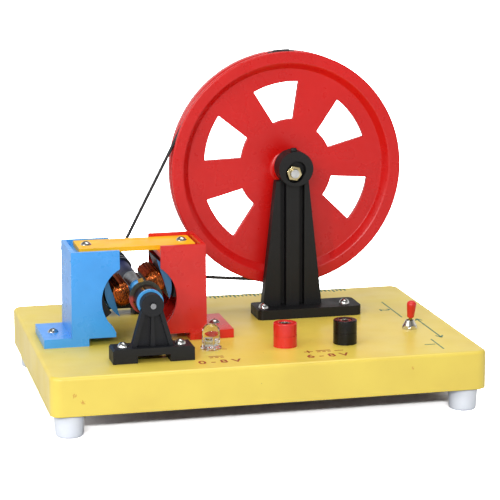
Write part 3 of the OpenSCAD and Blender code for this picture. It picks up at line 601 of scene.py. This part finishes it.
# %% Round the sharp edges
edge_radii = {
    "magnet_housing_blue": 0.45, "magnet_housing_red": 0.45, "top_bridge": 0.35, "wheel_upright": 0.6,
    "front_bearing": 0.45, "rear_bearing": 0.45, "brush_block": 0.3, "drive_wheel": 0.5,
    "axle_nut": 0.3, "toggle_nut": 0.2, "pulley": 0.2, "magnet_right": 0.3}
for node, radius_mm in edge_radii.items():
    copy = softened(node, radius_mm)
    print(copy.name, len(copy.data.polygons), "faces, box", [round(v / MM, 1) for v in copy.dimensions])

# %% [markdown]
# ## The wound coils
# Each coil is one enamelled wire, wound turn beside turn round the iron web, and the layers swell to
# a barrel. The frame's solid stands for the inner layers. The outer layer is a real wire here: one
# path of many turns, pushed out to the barrel's profile, with small random differences from turn to
# turn, as winding by hand leaves them. They break the highlight up into the jagged band of glints
# that makes a coil look wound, which a bump pattern on the solid would do only from the front. A poly
# curve with a round bevel turns the path to a tube. The real wire is finer: it is drawn 0.6 mm thick,
# as coarse as its turns need to show.

# %% Sizes of a coil, in millimetres
coil_in, coil_out = 5.1, 14.4
web_half_y, web_half_z = 11.5, 2.4
bulge_r, bulge_out = 6.6, 3.95
strand_r = 0.3
armature_y = middle("coil_right").y / MM
rest_tilt = math.atan2(middle("coil_right").z - shaft_at.z, middle("coil_right").x - shaft_at.x)
on_shaft = (Matrix.Translation((shaft_at.x / MM, 0, shaft_at.z / MM))
            @ Matrix.Rotation(-rest_tilt, 4, "Y"))
print("rest tilt", round(math.degrees(rest_tilt), 2), "armature middle", round(armature_y, 2))


# %% Wind the wire
def tube_mesh(points, radius):
    """A bmesh tube along a list of points."""
    curve = bpy.data.curves.new("path", "CURVE")
    curve.dimensions = "3D"
    spline = curve.splines.new("POLY")
    spline.points.add(len(points) - 1)
    for target, point in zip(spline.points, points):
        target.co = (*point, 1)
    curve.bevel_depth = radius
    curve.bevel_resolution = 2
    curve.use_fill_caps = True
    shape = bmesh.new()
    join_curve(shape, curve)
    return shape


def barrel(along):
    """How far the coil stands out from the web, at a distance along its axis."""
    return bulge_out - bulge_r + math.sqrt(bulge_r ** 2 - (along - (coil_out - coil_in) / 2) ** 2)


def winding(seed):
    """The path of one outer layer, with the coil's axis along X. Every second turn has sunk a little."""
    dice = random.Random(seed)
    pitch, sunk = 2.1 * strand_r, 0.14
    turns = int((coil_out - coil_in - 2 * strand_r) / pitch)
    corners = [(1, 1), (-1, 1), (-1, -1), (1, -1)]
    steps = 6
    path = []
    for turn in range(turns):
        if turn % 2 == 0:
            swell = dice.uniform(-0.1, 0.12)
        else:
            swell -= sunk
        drift = dice.uniform(-0.12, 0.12)
        sag = dice.uniform(-0.4, 0.4)
        for corner, (side_y, side_z) in enumerate(corners):
            for step in range(steps + 1):
                share = (corner + step / steps) / 4
                along = strand_r + (turn + share) * pitch + drift * math.sin(math.pi * share)
                angle = math.radians(90 * corner + 90 * step / steps)
                out = barrel(min(max(along, 0), coil_out - coil_in)) + swell
                path.append(Vector((
                    coil_in + along,
                    side_y * web_half_y + out * math.cos(angle),
                    side_z * web_half_z + out * math.sin(angle) + sag)))
    return path


for name, node, facing, seed in (
        ("coil_wire_right", "coil_right", Matrix.Identity(4), 4),
        ("coil_wire_left", "coil_left", Matrix.Rotation(math.pi, 4, "Y"), 9)):
    to_core = Matrix.Translation((0, armature_y, 0)) @ facing
    path = [on_shaft @ (to_core @ point) for point in winding(seed)]
    wire = piece(name, tube_mesh(path, strand_r), wire_varnish, node)
    print(name, len(wire.data.polygons), "faces")

# %% [markdown]
# ## The lamp
# A clear 10 mm lamp is one casting: a dome on a straight body, with a thin flange at its foot. Inside
# are the two bent tabs of the lead frame, the wider one with the cup that holds the chip. The casting
# is a profile spun round its axis, and the tabs are small bevelled plates.


# %% Helpers for turned pieces and small plates
def turned(profile, steps=64):
    """A closed solid from a profile of radius and height that starts and ends on the axis."""
    shape = bmesh.new()
    points = [shape.verts.new((radius, 0, height)) for radius, height in profile]
    edges = [shape.edges.new(pair) for pair in zip(points, points[1:])]
    bmesh.ops.spin(shape, geom=points + edges, cent=(0, 0, 0), axis=(0, 0, 1), angle=math.tau,
                   steps=steps, use_merge=True)
    bmesh.ops.remove_doubles(shape, verts=shape.verts, dist=0.002)
    return shape


def plate(shape, size, place, round_r=0.15):
    """Adds a small plate with rounded edges to the mesh."""
    made = bmesh.ops.create_cube(shape, size=1)["verts"]
    bmesh.ops.scale(shape, vec=Vector(size), verts=made)
    bmesh.ops.translate(shape, vec=Vector(place), verts=made)
    edges = list({edge for vert in made for edge in vert.link_edges})
    bmesh.ops.bevel(shape, geom=edges, offset=round_r, offset_type="OFFSET", segments=2, profile=0.5,
                    affect="EDGES", material=-1, clamp_overlap=True)


# %% Cast the lamp
lamp_x, lamp_y = middle("led_lens").x / MM, middle("led_lens").y / MM
lamp_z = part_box("led_lens")[0].z / MM
lens_r, body_top = 4.98, 9.2
dome = [(lens_r * math.cos(angle), body_top + lens_r * math.sin(angle))
        for angle in (math.radians(5 * step) for step in range(1, 18))]
lens = turned([(0, 0.02), (5.5, 0.02), (5.75, 0.2), (5.75, 1.1), (5.5, 1.35), (lens_r + 0.1, 1.4),
               (lens_r, 1.6), (lens_r, body_top), *dome, (0, body_top + lens_r)])
bmesh.ops.translate(lens, vec=Vector((lamp_x, lamp_y, lamp_z)), verts=lens.verts)
piece("lamp_casting", lens, epoxy, "led_lens", ["led_lens"])
print("lamp at", [round(v, 1) for v in (lamp_x, lamp_y, lamp_z)])

# %% Bend the lead frame
tabs = bmesh.new()
plate(tabs, (3.4, 0.7, 4.2), (lamp_x - 0.9, lamp_y, lamp_z + 3.2))
plate(tabs, (1.5, 0.7, 4.6), (lamp_x + 2.0, lamp_y, lamp_z + 3.4))
for side in (-1, 1):
    plate(tabs, (0.6, 0.6, 13), (lamp_x + side * 1.27, lamp_y, lamp_z - 4.4))
cup = turned([(0, 4.6), (1.1, 4.6), (1.7, 6.0), (1.5, 6.0), (0.9, 4.9), (0, 4.9)], 32)
bmesh.ops.translate(cup, vec=Vector((lamp_x - 0.9, lamp_y, lamp_z + 0.2)), verts=cup.verts)
join(tabs, cup)
piece("lamp_lead_frame", tabs, zinc, "led_leads", ["led_leads"])
print("lead frame ready")

# %% [markdown]
# ## The sockets, the sleeve and the gate mark
# A 4 mm socket is turned from brass rod and plated. Its flared mouth sits in the countersink of the
# cap, and its bright ring is what shows there. The soft sleeve on the toggle lever is dipped vinyl,
# thickest near its round end. Where the mould of the wheel's stand was filled, a stub was cut off and
# left a small bump on top of the head. The first two are profiles spun round their axes, and the bump
# is a small plate with very round edges.

# %% Turn the sockets
sockets = bmesh.new()
socket_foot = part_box("terminal_sockets")[0].z / MM - deck
for cap in ("terminal_red", "terminal_black"):
    cap_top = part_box(cap)[1].z / MM - deck
    mouth = cap_top - 0.35
    sleeve = turned([
        (0, socket_foot), (2.85, socket_foot), (2.85, cap_top - 1.3), (3.5, mouth - 0.15),
        (3.35, mouth), (2.4, mouth), (2.0, mouth - 0.4), (2.0, 0.1), (0, 0.1)], 48)
    under_cap = Vector((middle(cap).x / MM, middle(cap).y / MM, deck))
    bmesh.ops.translate(sleeve, vec=under_cap, verts=sleeve.verts)
    join(sockets, sleeve)
piece("plug_sockets", sockets, nickel, "terminal_sockets", ["terminal_sockets"])
print("sockets reach", round(-socket_foot, 1), "mm under the base top")

# %% Dip the sleeve
sleeve_round = [(2.05 * math.cos(angle) + 0.65, 14.1 + 1.9 * math.sin(angle))
                for angle in (math.radians(15 * step) for step in range(6))]
sleeve_foot = [(0, 6.2), (1.8, 6.2), (2.0, 6.5), (2.15, 8.5), (2.5, 11.5)]
dipped = turned([*sleeve_foot, *sleeve_round, (0, 16.0)], 48)
lever_tilt = math.radians(12)
on_lever = Matrix.Translation(lever_at / MM) @ Matrix.Rotation(lever_tilt, 4, "X")
bmesh.ops.transform(dipped, matrix=on_lever, verts=dipped.verts)
piece("lever_sleeve", dipped, sleeve_vinyl, "toggle_cap", ["toggle_cap"])
print("sleeve leans", round(math.degrees(lever_tilt)), "degrees")

# %% Leave the gate mark
gate = bmesh.new()
gate_size, gate_at = (3.6, 2.8, 2.4), (wheel_at.x / MM - 0.3, 20.6, 132.6)
plate(gate, gate_size, gate_at, 0.7)
piece("upright_gate_mark", gate, spark_black, "wheel_upright")
print("gate mark at", [round(v, 1) for v in gate_at])

# %% [markdown]
# ## Printed marks
# The base carries green and red screen print: plus and minus with the direct-current sign and the
# figures 6 and 8 at the sockets, the same sign with 0 and 8 by the lamp and a dash beside it, 1 and 2
# beside the switch with the arrow between its two ways, and a ruled scale along the back. The ink could
# be painted into the base's material. As a film of its own, a few hundredths of a millimetre thick, it
# stays sharp from close by and is easy to change.

# %% Inks
green_ink = moulded("green screen ink", "#2A6A58", "#4C8264", (0.45, 0.6), 0.4, 0.004, cloud_mm=1.5)
red_ink = moulded("dark red screen ink", "#8A2412", "#9C4020", (0.45, 0.6), 0.4, 0.004, cloud_mm=1.5)
ink_t = 0.06
ink_z = deck + 0.2 * ink_t
print("inks ready, film", ink_t, "mm")


# %% Strokes and figures
bolder = 0.15
# The height of a figure, as a share of its font size
figure_share = 0.7


def stroke(shape, start, end, width):
    """Adds a bar of ink from one point of the base top to another."""
    start, end = Vector((*start, 0)), Vector((*end, 0))
    run = end - start
    made = bmesh.ops.create_cube(shape, size=1)["verts"]
    turn = Matrix.Rotation(math.atan2(run.y, run.x), 4, "Z")
    size = Matrix.Diagonal((run.length, width, ink_t, 1))
    centre = Matrix.Translation(((start.x + end.x) / 2, (start.y + end.y) / 2, ink_z))
    bmesh.ops.transform(shape, matrix=centre @ turn @ size, verts=made)


def figure(shape, text, place, height, turn_deg=0):
    """Adds a plain figure of ink, centred on a place of the base top."""
    font = bpy.data.curves.new("figure", "FONT")
    font.body = text
    font.size = height / figure_share
    font.offset = bolder
    font.align_x = "CENTER"
    font.align_y = "CENTER"
    font.extrude = ink_t / 2
    before = len(shape.verts)
    join_curve(shape, font)
    shape.verts.ensure_lookup_table()
    turn = Matrix.Rotation(math.radians(turn_deg), 4, "Z")
    centre = Matrix.Translation((*place, ink_z))
    bmesh.ops.transform(shape, matrix=centre @ turn, verts=shape.verts[before:])


def direct_current(shape, place, width):
    """Adds the sign for direct current: a line over three dashes."""
    x, y = place
    stroke(shape, (x - width / 2, y + 1.4), (x + width / 2, y + 1.4), 1.1)
    for step in (-1, 0, 1):
        dash = x + step * width * 0.37
        stroke(shape, (dash - width * 0.12, y - 1.1), (dash + width * 0.12, y - 1.1), 1.1)


# %% Print the marks
red_print = bmesh.new()
green_print = bmesh.new()
stroke(red_print, (21.5, -62.6), (26.5, -62.6), 0.9)
stroke(red_print, (24, -60.1), (24, -65.1), 0.9)
direct_current(red_print, (32.5, -62.8), 8)
stroke(red_print, (38.5, -63.4), (43.5, -63.4), 0.9)
figure(red_print, "6 - 8 V", (32.4, -72.3), 6)
direct_current(red_print, (-26.9, -61.3), 8)
figure(red_print, "0 - 8 V", (-27, -71), 6)
stroke(red_print, (-20.2, -45.4), (-17.6, -45.9), 0.9)

arrow_x, arrow_back, arrow_front = 104.6, -4.5, -49.5
stroke(green_print, (arrow_x, arrow_back), (arrow_x, arrow_front), 0.9)
for tip, sense in ((arrow_back, -1), (arrow_front, 1)):
    for side in (-1, 1):
        stroke(green_print, (arrow_x, tip), (arrow_x + side * 2, tip + sense * 4.5), 0.9)
for text, y, half in (("2", 21, 20), ("1", -63, 11)):
    figure(green_print, text, (93, y), 6, turn_deg=-90)
    stroke(green_print, (97.6, y - half), (97.6, y + half), 0.8)
scale_y, scale_half, tick_step = 80.6, 86, 2.5
stroke(green_print, (-scale_half, scale_y), (scale_half, scale_y), 0.8)
for tick in range(-34, 35):
    length = 6.5 if (tick + 34) % 5 == 0 else 4.5
    stroke(green_print, (tick_step * tick, scale_y), (tick_step * tick, scale_y - length), 1.1)
piece("red_print", red_print, red_ink, "base_tray", smooth_deg=20)
piece("green_print", green_print, green_ink, "base_tray", smooth_deg=20)
print("printed marks ready")

# %% [markdown]
# ## Floor and light
# The model stands on a plain pale floor in a tent of soft light. The camera sees the floor and the
# world as plain white, but the light that falls on the model stays at the level at which a colour
# comes out about as it was written. The floor is brighter to the camera than to the model, more so
# far from it, so that it reads as white and still keeps the shadow under the base. The world lights
# matt surfaces from above, and hardly at all from low down, which leaves that shadow dark. Metal and
# glossy plastic see a bright horizon under a darker ceiling, and a narrow strip lamp adds the glints.


# %% Floor
def white_floor():
    """A matt floor that the camera sees brighter than the model does."""
    material, tree, place = begin("white paper floor")
    seen = add(tree, "LightPath").outputs["Is Camera Ray"]
    paper = add(tree, "TexNoise", {"Vector": place, "Scale": per(2), "Detail": 4.0})
    dull = add(tree, "MapRange", {"Value": paper.outputs["Fac"], "To Min": 0.8, "To Max": 0.84})
    away = add(tree, "VectorMath", {0: place}, operation="LENGTH").outputs["Value"]
    bright = add(tree, "MapRange", {
        "Value": away, "From Min": 0.25, "From Max": 1.5, "To Min": 4.5, "To Max": 7.0})
    level = add(tree, "Mix", {0: seen, 2: dull.outputs[0], 3: bright.outputs[0]}, data_type="FLOAT")
    close(tree, add(tree, "BsdfDiffuse", {
        "Color": add(tree, "CombineColor", {
            "Red": level.outputs[0], "Green": level.outputs[0], "Blue": level.outputs[0]}).outputs[0]}))
    return material


floor_mesh = bmesh.new()
bmesh.ops.create_grid(floor_mesh, x_segments=1, y_segments=1, size=12)
floor_data = bpy.data.meshes.new("floor")
floor_mesh.to_mesh(floor_data)
floor_mesh.free()
floor_data.materials.append(white_floor())
floor = bpy.data.objects.new("floor", floor_data)
bpy.context.scene.collection.objects.link(floor)
floor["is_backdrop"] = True
print("floor", floor.dimensions)


# %% World
def soft_world(strength):
    """Light from above, plain white to the camera and glass, and white low down to metal."""
    world = bpy.data.worlds.new("studio")
    world.use_nodes = True
    tree = world.node_tree
    tree.nodes.clear()
    rays = add(tree, "LightPath").outputs
    seen = add(tree, "Math", {0: rays["Is Camera Ray"], 1: rays["Is Transmission Ray"]},
               operation="MAXIMUM")
    height = add(tree, "SeparateXYZ", {0: add(tree, "TexCoord").outputs["Generated"]}).outputs["Z"]
    for_gloss = add(tree, "MapRange", {
        "Value": height, "From Min": 0.24, "From Max": 0.55, "To Min": 1.0, "To Max": 0.2})
    for_matt = add(tree, "MapRange", {
        "Value": height, "From Min": 0.45, "From Max": 0.8,
        "To Min": 0.02 * strength, "To Max": 1.7 * strength})
    unseen = add(tree, "Mix", {
        0: rays["Is Glossy Ray"], 2: for_matt.outputs[0], 3: for_gloss.outputs[0]}, data_type="FLOAT")
    level = add(tree, "Mix", {0: seen.outputs[0], 2: unseen.outputs[0], 3: 1.0}, data_type="FLOAT")
    sky = add(tree, "Background", {"Color": linear("#FFFFFF"), "Strength": level.outputs[0]})
    add(tree, "OutputWorld", {"Surface": sky.outputs[0]})
    bpy.context.scene.world = world


soft_world(0.5)
print("world", bpy.context.scene.world.name)


# %% Lamps
def soft_box(name, place_mm, aim_mm, size_mm, watts):
    """A flat rectangular lamp that looks at a point."""
    lamp = bpy.data.lights.new(name, "AREA")
    lamp.shape = "RECTANGLE"
    lamp.size, lamp.size_y = (side * MM for side in size_mm)
    lamp.energy = watts
    holder = bpy.data.objects.new(name, lamp)
    aim = (Vector(aim_mm) - Vector(place_mm)).normalized()
    turn = aim.to_track_quat("-Z", "Y").to_matrix().to_4x4()
    holder.matrix_world = Matrix.Translation(Vector(place_mm) * MM) @ turn
    bpy.context.scene.collection.objects.link(holder)


soft_box("front box", (-300, -1230, 600), (0, 0, 40), (700, 60), 8.3)
soft_box("left box", (-900, -300, 500), (0, 0, 80), (400, 700), 2.4)
soft_box("strip", (-640, -640, 590), (0, 0, 100), (60, 500), 2.2)
soft_box("top box", (100, 100, 900), (0, 0, 50), (600, 500), 2.8)

# %% [markdown]
# ## Sizes and the end of the script
# The box of the dressed model is measured again, and how far its lowest corner has moved from the
# frame's box is printed. The dressed model has to stay inside the frame's own box.

# %% Print how far the lowest corner moved
dressed_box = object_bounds()
grown = [round((b - a) / MM, 2) for a, b in zip(cad_box[0], dressed_box[0])]
print("lowest corner moved by", grown, "mm")
